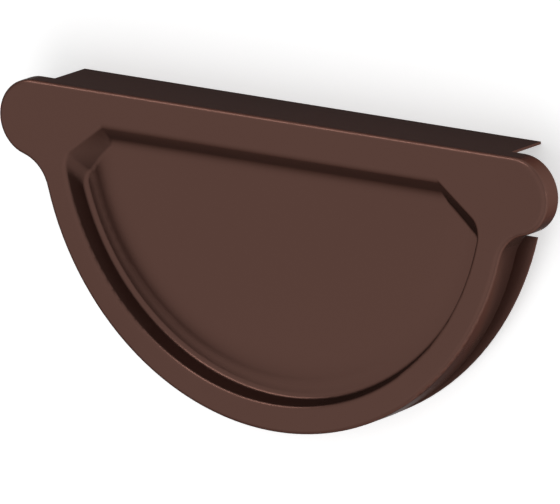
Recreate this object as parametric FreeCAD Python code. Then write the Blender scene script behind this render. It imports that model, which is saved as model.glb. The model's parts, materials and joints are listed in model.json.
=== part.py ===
import FreeCAD, Part
import math
import os

from FreeCAD import Vector

# Gutter end cap for a 125 mm half-round roof gutter, pressed from one piece of coated steel sheet.
# Drawn face up: X runs along the top edge, Y towards the top edge and Z out of the front face.
# The gutter's centre line is at X = 0, Y = 0, and the front face is at Z = 0.
# At the end the cap is laid down as it rests on a floor, and its lowest point gets Z = 0.

# Driving dimensions, in millimetres and degrees
sheet = 0.6
gutter_radius = 62.5            # outside of the gutter that the cap closes
gutter_clearance = 0.4          # between the gutter and the rim around it
face_bend = 1.2                 # outside radius where the front face turns back

top_edge_y = 7.8                # top edge above the gutter's centre line
ear_radius = 8.8                # rounded ears that cover the gutter's beads
ear_offset = 3.2                # centre of the ear, outwards from the gutter's outside
neck_radius = 9.1               # hollow between ear and rim

ear_wall_depth = 5.0
rim_wall_depth = 7.8
ear_wall_end_y = -11.3          # here the ear's shallow wall gives way to the deeper rim

top_flange_depth = 16.1
top_flange_end_gap = 0.3        # end of the flange, inwards from the gutter's outside

flare_top_width = 4.6           # flared strip behind the rim: its reach out of the rim's circle
flare_middle_width = 2.4        # at the ears, and at an angle below the gutter's centre line
flare_middle_angle = 31.0
flare_end_angle = 61.5          # here the strip has tapered away

face_land = 6.2                 # flat of the face between the rim and the pressed-in recess
recess_top_y = 0.0              # straight top edge of the recess
recess_corner_run = 11.3        # the corner slopes down from here, inwards from the arc's end
recess_corner_angle = 38.0
recess_corner_round = 4.0       # radius where the corner runs into the arc wall
recess_wall_draft = 15.0        # lean of the steep arc wall
wall_lip = 1.2                  # radius where the face dips into the arc wall and the corners
wall_foot = 1.4                 # outside radius at their foot
slope_run = 4.4                 # width of the slope inside the top edge and the corners
slope_lip = 2.4                 # radius where the face dips into the slope at the top edge
slope_foot = 5.0                # inside radius at the foot of that slope

panel_depth = 3.9               # flat panel in the middle of the recess
groove_depth = 4.8              # shallow groove between the steep wall and the panel
groove_floor = 3.4
groove_rise = 13.0              # lean of the soft rise from the groove to the panel
groove_bend = 8.0               # radius at the start of the rise
panel_bend = 25.0               # radius at the end of the rise

rim_radius = gutter_radius + gutter_clearance + sheet
ear_x = gutter_radius + ear_offset
top_flange_half_length = gutter_radius - top_flange_end_gap
recess_radius = rim_radius - face_land
recess_corner_x = recess_radius - recess_corner_run


def on_circle(centre, radius, angle):
    return centre + Vector(radius * math.cos(angle), radius * math.sin(angle), 0)


def arc(centre, radius, start, end):
    """Arc edge from one angle to another, either way round."""
    middle = (start + end) / 2
    points = [on_circle(centre, radius, angle) for angle in (start, middle, end)]
    return Part.Arc(*points).toShape()


def mirrored(edges):
    """The same edges on the other side of X = 0."""
    return [edge.mirror(Vector(0, 0, 0), Vector(1, 0, 0)) for edge in edges]


def neck_centre():
    """Centre of the hollow that touches both the ear and the rim circle."""
    ear = Vector(ear_x, top_edge_y - ear_radius, 0)
    to_rim = rim_radius + neck_radius
    to_ear = ear_radius + neck_radius
    along = (to_rim ** 2 - to_ear ** 2 + ear.Length ** 2) / (2 * ear.Length)
    aside = math.sqrt(to_rim ** 2 - along ** 2)
    direction = Vector(ear).normalize()
    downward = Vector(direction.y, -direction.x, 0)
    return direction * along + downward * aside


def outline(inset, z):
    """Front outline of the cap, moved inwards by inset, at height z."""
    centre = Vector(0, 0, 0)
    ear = Vector(ear_x, top_edge_y - ear_radius, 0)
    neck = neck_centre()
    to_neck = neck - ear
    ear_end = math.atan2(to_neck.y, to_neck.x)
    neck_end = math.atan2(-neck.y, -neck.x)
    rim_start = math.atan2(neck.y, neck.x)
    side = [
        arc(ear, ear_radius - inset, math.pi / 2, ear_end),
        arc(neck, neck_radius + inset, ear_end + math.pi, neck_end),
    ]
    top = Vector(ear_x, top_edge_y - inset, 0)
    top_line = Part.LineSegment(Vector(-top.x, top.y, 0), top).toShape()
    rim = arc(centre, rim_radius - inset, rim_start, -math.pi - rim_start)
    edges = [top_line] + side + [rim] + mirrored(side)
    wire = Part.Wire(Part.__sortEdges__(edges))
    wire.translate(Vector(0, 0, z))
    return wire


def body(inset, front, back):
    """Solid inside the outline, from front down to back, and the edges round its front."""
    solid = Part.Face(outline(inset, front)).extrude(Vector(0, 0, back - front))
    front_edges = [edge for edge in solid.Edges if lies_at(edge, front)]
    return solid, front_edges


def lies_at(edge, z):
    """True for an edge that stays at one height."""
    return abs(edge.BoundBox.ZMin - z) < 1e-4 and abs(edge.BoundBox.ZMax - z) < 1e-4


def leads_down(edge):
    """True for an edge that goes down most of the way from the face to the foot of the steep wall."""
    return edge.BoundBox.ZLength > groove_depth / 2


def block(x_from, x_to, y_from, y_to, z_from, z_to):
    corner = Vector(x_from, y_from, z_from)
    return Part.makeBox(x_to - x_from, y_to - y_from, z_to - z_from, corner)


def slant_like(radius):
    """Legs of the flat slant that touches a rounded corner of this radius in its middle."""
    return (2 - math.sqrt(2)) * radius


def walls_trimmed(shell):
    """Cut the wall back to its own depth at the ears and round the rim."""
    reach = 2 * rim_radius
    deep = -2 * top_flange_depth
    rim_cut = block(-reach, reach, -reach, ear_wall_end_y, deep, -rim_wall_depth)
    right = block(top_flange_half_length, reach, ear_wall_end_y, reach, deep, -ear_wall_depth)
    left = block(-reach, -top_flange_half_length, ear_wall_end_y, reach, deep, -ear_wall_depth)
    return shell.cut([rim_cut, right, left])


def flared_strip():
    """Strip that turns outwards behind the rim, widest at the ears, as one solid for each side."""
    centre = Vector(0, 0, 0)
    top_radius = rim_radius + flare_top_width
    top = on_circle(centre, top_radius, math.asin(ear_wall_end_y / top_radius))
    middle = on_circle(
        centre, rim_radius + flare_middle_width, -math.radians(flare_middle_angle))
    end = on_circle(centre, rim_radius, -math.radians(flare_end_angle))
    inside = Vector(0, ear_wall_end_y, 0)
    edges = [
        Part.LineSegment(inside, top).toShape(),
        Part.Arc(top, middle, end).toShape(),
        Part.LineSegment(end, inside).toShape(),
    ]
    sector = Part.Face(Part.Wire(edges)).extrude(Vector(0, 0, sheet))
    sector.translate(Vector(0, 0, -rim_wall_depth))
    hollow = Part.Face(outline(sheet, -rim_wall_depth)).extrude(Vector(0, 0, sheet))
    right = sector.cut(hollow)
    return [right, right.mirror(Vector(0, 0, 0), Vector(1, 0, 0))]


def along_top(edge):
    """True for an edge that runs parallel to the top edge of the cap."""
    return edge.BoundBox.YLength < 1e-4


def distance_from(centre, edge):
    """Distance from a point to the middle of an edge on the right, or of its mirror image."""
    middle = edge.valueAt((edge.FirstParameter + edge.LastParameter) / 2)
    return math.hypot(abs(middle.x) - centre.x, middle.y - centre.y)


def slope_inset(grow, z):
    """How far a slope has come inwards at height z, when it is moved outwards by grow."""
    lean = math.atan2(slope_run, panel_depth)
    return -z * math.tan(lean) - grow / math.cos(lean)


def slope_wedge(grow):
    """Room between the slopes at the top edge and the corners of the recess."""
    below = -groove_depth - 2 * grow
    upper = corner_polygon(slope_inset(grow, 0), 0)
    lower = corner_polygon(slope_inset(grow, below), below)
    return flat_sided_solid(upper, lower)


def slope_foot_strip(grow):
    """Strip that lies in the corner between the top slope and the panel, and rounds it."""
    angle = math.atan2(panel_depth, slope_run)
    radius = slope_foot + grow
    reach = radius * math.tan(angle / 2)
    panel_z = -panel_depth - grow
    corner = Vector(0, recess_top_y - slope_inset(grow, panel_z), panel_z)
    on_slope = corner + Vector(0, math.cos(angle), math.sin(angle)) * reach
    on_panel = corner - Vector(0, reach, 0)
    centre = on_panel + Vector(0, 0, radius)
    middle = centre + Vector(0, math.sin(angle / 2), -math.cos(angle / 2)) * radius
    edges = [
        Part.LineSegment(on_slope, corner).toShape(),
        Part.LineSegment(corner, on_panel).toShape(),
        Part.Arc(on_panel, middle, on_slope).toShape(),
    ]
    strip = Part.Face(Part.Wire(edges)).extrude(Vector(2 * recess_radius, 0, 0))
    strip.translate(Vector(-recess_radius, 0, 0))
    return strip


def flat_sided_solid(upper, lower):
    """Solid between two polygons with as many corners, with a flat face along each side."""
    loops = [upper, lower]
    for index in range(len(upper)):
        following = (index + 1) % len(upper)
        loops.append([upper[index], upper[following], lower[following], lower[index]])
    faces = [Part.Face(Part.makePolygon(loop + [loop[0]])) for loop in loops]
    return Part.Solid(Part.makeShell(faces))


def corner_polygon(inset, z):
    """Top edge and sloping corners moved inwards by inset, closed far below the recess."""
    angle = math.radians(recess_corner_angle)
    reach = 1.5 * recess_radius
    top = recess_top_y - inset
    corner_x = recess_corner_x - inset * math.tan(angle / 2)
    drop = (reach - corner_x) * math.tan(angle)
    return [
        Vector(-corner_x, top, z),
        Vector(corner_x, top, z),
        Vector(reach, top - drop, z),
        Vector(reach, -reach, z),
        Vector(-reach, -reach, z),
        Vector(-reach, top - drop, z),
    ]


def revolved(profile):
    """Solid turned about the Z axis from points that hold a radius and a height."""
    points = [Vector(radius, 0, z) for radius, z in profile]
    face = Part.Face(Part.makePolygon(points + [points[0]]))
    return face.revolve(Vector(0, 0, 0), Vector(0, 0, 1), 360)


def foot_radius():
    """Radius at the foot of the steep wall, before that corner is rounded."""
    return recess_radius - groove_depth * math.tan(math.radians(recess_wall_draft))


def grooved_plug(grow):
    """Round plug as deep as the panel, with a ring below it that presses the groove."""
    steep = math.radians(recess_wall_draft)
    rise = math.radians(groove_rise)
    groove_z = -groove_depth - grow
    panel_z = -panel_depth - grow
    wall_top = recess_radius + grow / math.cos(steep)
    floor_out = wall_top + groove_z * math.tan(steep)
    floor_in = foot_radius() - groove_floor - grow * math.tan(rise / 2)
    panel_edge = floor_in - (groove_depth - panel_depth) / math.tan(rise)
    plug = revolved([
        (0, 0), (wall_top, 0), (floor_out, groove_z), (floor_in, groove_z),
        (panel_edge, panel_z), (0, panel_z)])
    plug = plug.makeFillet(panel_bend - grow, circles(plug, panel_edge, panel_z))
    return plug.makeFillet(groove_bend + grow, circles(plug, floor_in, groove_z))


def circles(solid, radius, z):
    """Edges of a turned solid at one height and one distance from the Z axis."""
    return [edge for edge in solid.Edges if lies_at(edge, z)
            and abs(distance_from(Vector(0, 0, 0), edge) - radius) < 0.01]


def pocket(grow):
    """The recess as a solid plug. With grow, the plug is thicker by that much all round."""
    plug = grooved_plug(grow).common(slope_wedge(grow)).removeSplitter()
    corners = [edge for edge in plug.Edges if leads_down(edge)
               and distance_from(Vector(0, 0, 0), edge) > foot_radius()]
    plug = plug.makeFillet(recess_corner_round + grow, corners)
    foot = [edge for edge in plug.Edges if lies_at(edge, -panel_depth - grow)
            and edge.Curve.TypeId == "Part::GeomLine" and not along_top(edge)]
    plug = plug.makeFillet(wall_foot + grow, foot)
    return plug.cut(slope_foot_strip(grow))


def pressed_shell():
    """Face, walls, flared strip and recess as one sheet, with a flat slant inside its outer bend."""
    skin, skin_edges = body(0, 0, -top_flange_depth)
    skin = skin.makeFillet(face_bend, skin_edges)
    hollow, hollow_edges = body(sheet, -sheet, -top_flange_depth)
    hollow = hollow.makeChamfer(slant_like(face_bend - sheet), hollow_edges)
    shell = walls_trimmed(skin.cut(hollow)).fuse(flared_strip())
    shell = shell.fuse(pocket(sheet)).cut(pocket(0)).removeSplitter()
    top = [edge for edge in recess_edges(shell) if along_top(edge)]
    shell = shell.makeFillet(slope_lip, top)
    rest = [edge for edge in recess_edges(shell) if not along_top(edge)]
    return shell.makeFillet(wall_lip, rest)


def recess_edges(shell):
    """Edges where the front face ends at the recess."""
    return [edge for edge in shell.Edges
            if lies_at(edge, 0) and edge.BoundBox.YMax < recess_top_y + sheet]


def laid_down(shape):
    """Turn the cap to its rest: on the back of the top flange and the lowest point of the rim."""
    flange_edge = Vector(0, top_edge_y - sheet, -top_flange_depth)
    rim_edge = Vector(0, -rim_radius, -rim_wall_depth)
    lean = math.atan2(rim_edge.z - flange_edge.z, flange_edge.y - rim_edge.y)
    resting = shape.copy()
    resting.rotate(Vector(0, 0, 0), Vector(1, 0, 0), math.degrees(lean))
    box = resting.optimalBoundingBox(True, False)
    resting.translate(Vector(0, -box.Center.y, -box.ZMin))
    return resting


os.makedirs("parts", exist_ok=True)
end_cap = laid_down(pressed_shell())
end_cap.exportStep("parts/end_cap.step")
print("solids", len(end_cap.Solids), "valid", end_cap.isValid())
print("volume", round(end_cap.Volume, 1), "box", end_cap.BoundBox)
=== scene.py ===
import json
import math

import bpy
from mathutils import Matrix, Vector

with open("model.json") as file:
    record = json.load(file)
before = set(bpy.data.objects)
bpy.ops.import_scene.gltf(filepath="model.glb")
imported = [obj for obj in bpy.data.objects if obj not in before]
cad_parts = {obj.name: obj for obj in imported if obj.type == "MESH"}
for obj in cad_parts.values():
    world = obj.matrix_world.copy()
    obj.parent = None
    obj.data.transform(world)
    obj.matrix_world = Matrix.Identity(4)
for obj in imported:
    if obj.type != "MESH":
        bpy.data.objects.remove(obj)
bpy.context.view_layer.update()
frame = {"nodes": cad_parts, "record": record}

# The gutter end cap lies on its back on a white floor, and the camera looks down on its face.
# Lengths are in metres and angles in degrees, unless a name or a comment says otherwise.

mounts = {mount["name"]: mount for mount in frame["record"]["mounts"]}

# The face's own axes: along the top edge, towards the top edge and out of the face
along = Vector((1, 0, 0))
outwards = Vector(mounts["front_face"]["axis"])
upwards = Vector(mounts["top_flange"]["axis"])

# Camera, given by its angles to the face and the point of the face that it aims at
camera_turn = 36.257            # to the right of straight on
camera_rise = 14.215            # above straight on
camera_roll = -0.679            # about its line of sight
camera_distance = 3.017
aim_along = 0.00308             # from the middle of the front face's mount
aim_upwards = -0.02633
pixels_per_metre = 4541.5       # scale of the picture at the aim
pixels_across = 560             # width of the picture that this scale holds for
sensor_width = 36.0             # millimetres, as the lens is

# Finish of the coated sheet
paint = (0.100, 0.0505, 0.0400, 1)
paint_light = (0.108, 0.0555, 0.0440, 1)
paint_metal = 0.85              # share that mirrors in the paint's own colour; the rest is matt
paint_varnish = 0.05            # strength of its white reflections; plain varnish has 0.5
flat_angle_tint = (0.18, 0.18, 0.18, 1)     # of its reflections at a flat angle
paint_roughness = 0.34
roughness_spread = 0.03         # how far the clouds change it, up or down
cloud_size = 0.05               # faint unevenness of colour and gloss
cloud_detail = 3
grain_size = 0.0004             # fine orange peel of the coating
grain_detail = 2
grain_strength = 0.03

# Shading of the sheet's curves
weld_distance = 0.000001        # joins the faces along their shared edges
sharp_angle = 50                # edges sharper than this stay crisp

# Surroundings and floor
background = (1, 1, 1, 1)
sky_light = 0.55                # what the surroundings give to matt surfaces
horizon_glow = 0.45             # how bright they look at the horizon; overhead it is 1
full_glow_height = 0.6          # sine of the angle from which they look fully bright
floor_half = 3.0                # half the length of its sides
floor_grey = (0.8, 0.8, 0.8, 1)
floor_glow = 0.5                # added where the floor is seen or mirrored

# Lamps, each facing the middle of the cap, with their power in watts.
# A lamp that isn't mirrored lights the matt colour, and one that is shows only in the gloss.
lamps = [
    dict(name="key", place=(0.33, -1.36, 1.70), size=(2.3, 2.3), power=18, mirrored=False),
    dict(name="side_fill", place=(0.5, -0.05, 0.0065), size=(0.4, 0.009), power=3.6, mirrored=False),
    dict(name="rear_left_strip", place=(-0.9, 1.25, 0.36), size=(0.5, 0.16), power=3.5, mirrored=True),
    dict(name="rear_right_strip", place=(-0.2, 1.36, 0.58), size=(0.6, 0.16), power=3.5, mirrored=True),
]


def face_point(across, up):
    """A point of the front face, given from the middle of its mount."""
    return Vector(mounts["front_face"]["pos_m"]) + along * across + upwards * up


def camera_axes():
    """Right, up and backward directions of the camera."""
    turn = math.radians(camera_turn)
    rise = math.radians(camera_rise)
    backward = (along * math.sin(turn) * math.cos(rise) + upwards * math.sin(rise)
                + outwards * math.cos(turn) * math.cos(rise))
    level = along * math.cos(turn) - outwards * math.sin(turn)
    roll = Matrix.Rotation(math.radians(camera_roll), 3, backward)
    right = roll @ level
    return right, backward.cross(right), backward


def add_camera():
    """Long lens, whose length follows from the scale of the picture."""
    right, up, backward = camera_axes()
    place = face_point(aim_along, aim_upwards) + backward * camera_distance
    data = bpy.data.cameras.new("camera")
    data.sensor_width = sensor_width
    data.lens = sensor_width * pixels_per_metre * camera_distance / pixels_across
    camera = bpy.data.objects.new("camera", data)
    bpy.context.scene.collection.objects.link(camera)
    turned = Matrix((right, up, backward)).transposed().to_4x4()
    camera.matrix_world = Matrix.Translation(place) @ turned
    bpy.context.scene.camera = camera


def seen_directly(tree):
    """A value that is 1 for camera, glossy and transmission rays and 0 for the rest."""
    path = tree.nodes.new("ShaderNodeLightPath")
    seen = path.outputs["Is Camera Ray"]
    for ray in ("Is Glossy Ray", "Is Transmission Ray"):
        either = tree.nodes.new("ShaderNodeMath")
        either.operation = "MAXIMUM"
        tree.links.new(seen, either.inputs[0])
        tree.links.new(path.outputs[ray], either.inputs[1])
        seen = either.outputs[0]
    return seen


def add_world():
    """White surroundings: even and dimmer for matt surfaces, darker at the horizon where mirrored."""
    world = bpy.data.worlds.new("studio")
    world.use_nodes = True
    tree = world.node_tree
    tree.nodes.clear()
    output = tree.nodes.new("ShaderNodeOutputWorld")
    mix = tree.nodes.new("ShaderNodeMixShader")
    dim = tree.nodes.new("ShaderNodeBackground")
    dim.inputs["Color"].default_value = background
    dim.inputs["Strength"].default_value = sky_light
    bright = tree.nodes.new("ShaderNodeBackground")
    bright.inputs["Color"].default_value = background
    place = tree.nodes.new("ShaderNodeTexCoord")
    parts = tree.nodes.new("ShaderNodeSeparateXYZ")
    glow = tree.nodes.new("ShaderNodeMapRange")
    glow.inputs["From Max"].default_value = full_glow_height
    glow.inputs["To Min"].default_value = horizon_glow
    tree.links.new(place.outputs["Generated"], parts.inputs[0])
    tree.links.new(parts.outputs["Z"], glow.inputs["Value"])
    tree.links.new(glow.outputs["Result"], bright.inputs["Strength"])
    tree.links.new(seen_directly(tree), mix.inputs[0])
    tree.links.new(dim.outputs[0], mix.inputs[1])
    tree.links.new(bright.outputs[0], mix.inputs[2])
    tree.links.new(mix.outputs[0], output.inputs["Surface"])
    bpy.context.scene.world = world


def floor_material():
    """Matt and pale, with a glow of its own that only shows where it is seen or mirrored."""
    material = bpy.data.materials.new("floor")
    material.use_nodes = True
    tree = material.node_tree
    tree.nodes.clear()
    output = tree.nodes.new("ShaderNodeOutputMaterial")
    matt = tree.nodes.new("ShaderNodeBsdfDiffuse")
    matt.inputs["Color"].default_value = floor_grey
    glow = tree.nodes.new("ShaderNodeEmission")
    glow.inputs["Color"].default_value = background
    glow.inputs["Strength"].default_value = floor_glow
    nothing = tree.nodes.new("ShaderNodeEmission")
    nothing.inputs["Strength"].default_value = 0
    lit = tree.nodes.new("ShaderNodeMixShader")
    both = tree.nodes.new("ShaderNodeAddShader")
    tree.links.new(seen_directly(tree), lit.inputs[0])
    tree.links.new(nothing.outputs[0], lit.inputs[1])
    tree.links.new(glow.outputs[0], lit.inputs[2])
    tree.links.new(matt.outputs[0], both.inputs[0])
    tree.links.new(lit.outputs[0], both.inputs[1])
    tree.links.new(both.outputs[0], output.inputs["Surface"])
    return material


def add_floor():
    """One square of floor under the cap, separate from the cap itself."""
    mesh = bpy.data.meshes.new("floor")
    corners = [(-floor_half, -floor_half, 0), (floor_half, -floor_half, 0),
               (floor_half, floor_half, 0), (-floor_half, floor_half, 0)]
    mesh.from_pydata(corners, [], [(0, 1, 2, 3)])
    mesh.materials.append(floor_material())
    floor = bpy.data.objects.new("floor", mesh)
    bpy.context.scene.collection.objects.link(floor)


def add_lamp(name, place, size, power, mirrored):
    """Soft lamp that faces the middle of the cap and either lights it or is mirrored in it."""
    data = bpy.data.lights.new(name, "AREA")
    data.shape = "RECTANGLE"
    data.size, data.size_y = size
    data.energy = power
    lamp = bpy.data.objects.new(name, data)
    lamp.visible_glossy = mirrored
    lamp.visible_diffuse = not mirrored
    bpy.context.scene.collection.objects.link(lamp)
    place = Vector(place)
    turned = place.to_track_quat("Z", "Y").to_matrix().to_4x4()
    lamp.matrix_world = Matrix.Translation(place) @ turned


def paint_material():
    """Satin coil coating: faint clouds in colour and gloss, and a fine orange peel."""
    material = bpy.data.materials.new("coated_steel")
    material.use_nodes = True
    tree = material.node_tree
    shader = tree.nodes["Principled BSDF"]
    shader.inputs["Metallic"].default_value = paint_metal
    shader.inputs["Specular Tint"].default_value = flat_angle_tint
    shader.inputs["Specular IOR Level"].default_value = paint_varnish
    place = tree.nodes.new("ShaderNodeTexCoord")
    clouds = tree.nodes.new("ShaderNodeTexNoise")
    clouds.inputs["Scale"].default_value = 1 / cloud_size
    clouds.inputs["Detail"].default_value = cloud_detail
    colour = tree.nodes.new("ShaderNodeMix")
    colour.data_type = "RGBA"
    colour.inputs["A"].default_value = paint
    colour.inputs["B"].default_value = paint_light
    grain = tree.nodes.new("ShaderNodeTexNoise")
    grain.inputs["Scale"].default_value = 1 / grain_size
    grain.inputs["Detail"].default_value = grain_detail
    gloss = tree.nodes.new("ShaderNodeMapRange")
    gloss.inputs["To Min"].default_value = paint_roughness - roughness_spread
    gloss.inputs["To Max"].default_value = paint_roughness + roughness_spread
    bump = tree.nodes.new("ShaderNodeBump")
    bump.inputs["Strength"].default_value = grain_strength
    bump.inputs["Distance"].default_value = grain_size
    tree.links.new(place.outputs["Object"], clouds.inputs["Vector"])
    tree.links.new(place.outputs["Object"], grain.inputs["Vector"])
    tree.links.new(clouds.outputs["Fac"], colour.inputs["Factor"])
    tree.links.new(colour.outputs["Result"], shader.inputs["Base Color"])
    tree.links.new(clouds.outputs["Fac"], gloss.inputs["Value"])
    tree.links.new(gloss.outputs["Result"], shader.inputs["Roughness"])
    tree.links.new(grain.outputs["Fac"], bump.inputs["Height"])
    tree.links.new(bump.outputs["Normal"], shader.inputs["Normal"])
    return material


def shade_evenly(piece):
    """Smooth shading across the seams between faces, led by the larger faces."""
    weld = piece.modifiers.new("weld", "WELD")
    weld.merge_threshold = weld_distance
    split = piece.modifiers.new("split", "EDGE_SPLIT")
    split.use_edge_sharp = False
    split.split_angle = math.radians(sharp_angle)
    weighted = piece.modifiers.new("weighted", "WEIGHTED_NORMAL")
    weighted.mode = "FACE_AREA_WITH_ANGLE"


def finish_cap():
    """Paint in every slot of the cap, and even shading."""
    cap = frame["nodes"]["end_cap"]
    material = paint_material()
    for slot in cap.material_slots:
        slot.material = material
    shade_evenly(cap)


add_camera()
add_world()
add_floor()
for lamp in lamps:
    add_lamp(**lamp)
finish_cap()

bpy.context.scene.view_settings.view_transform = "Standard"
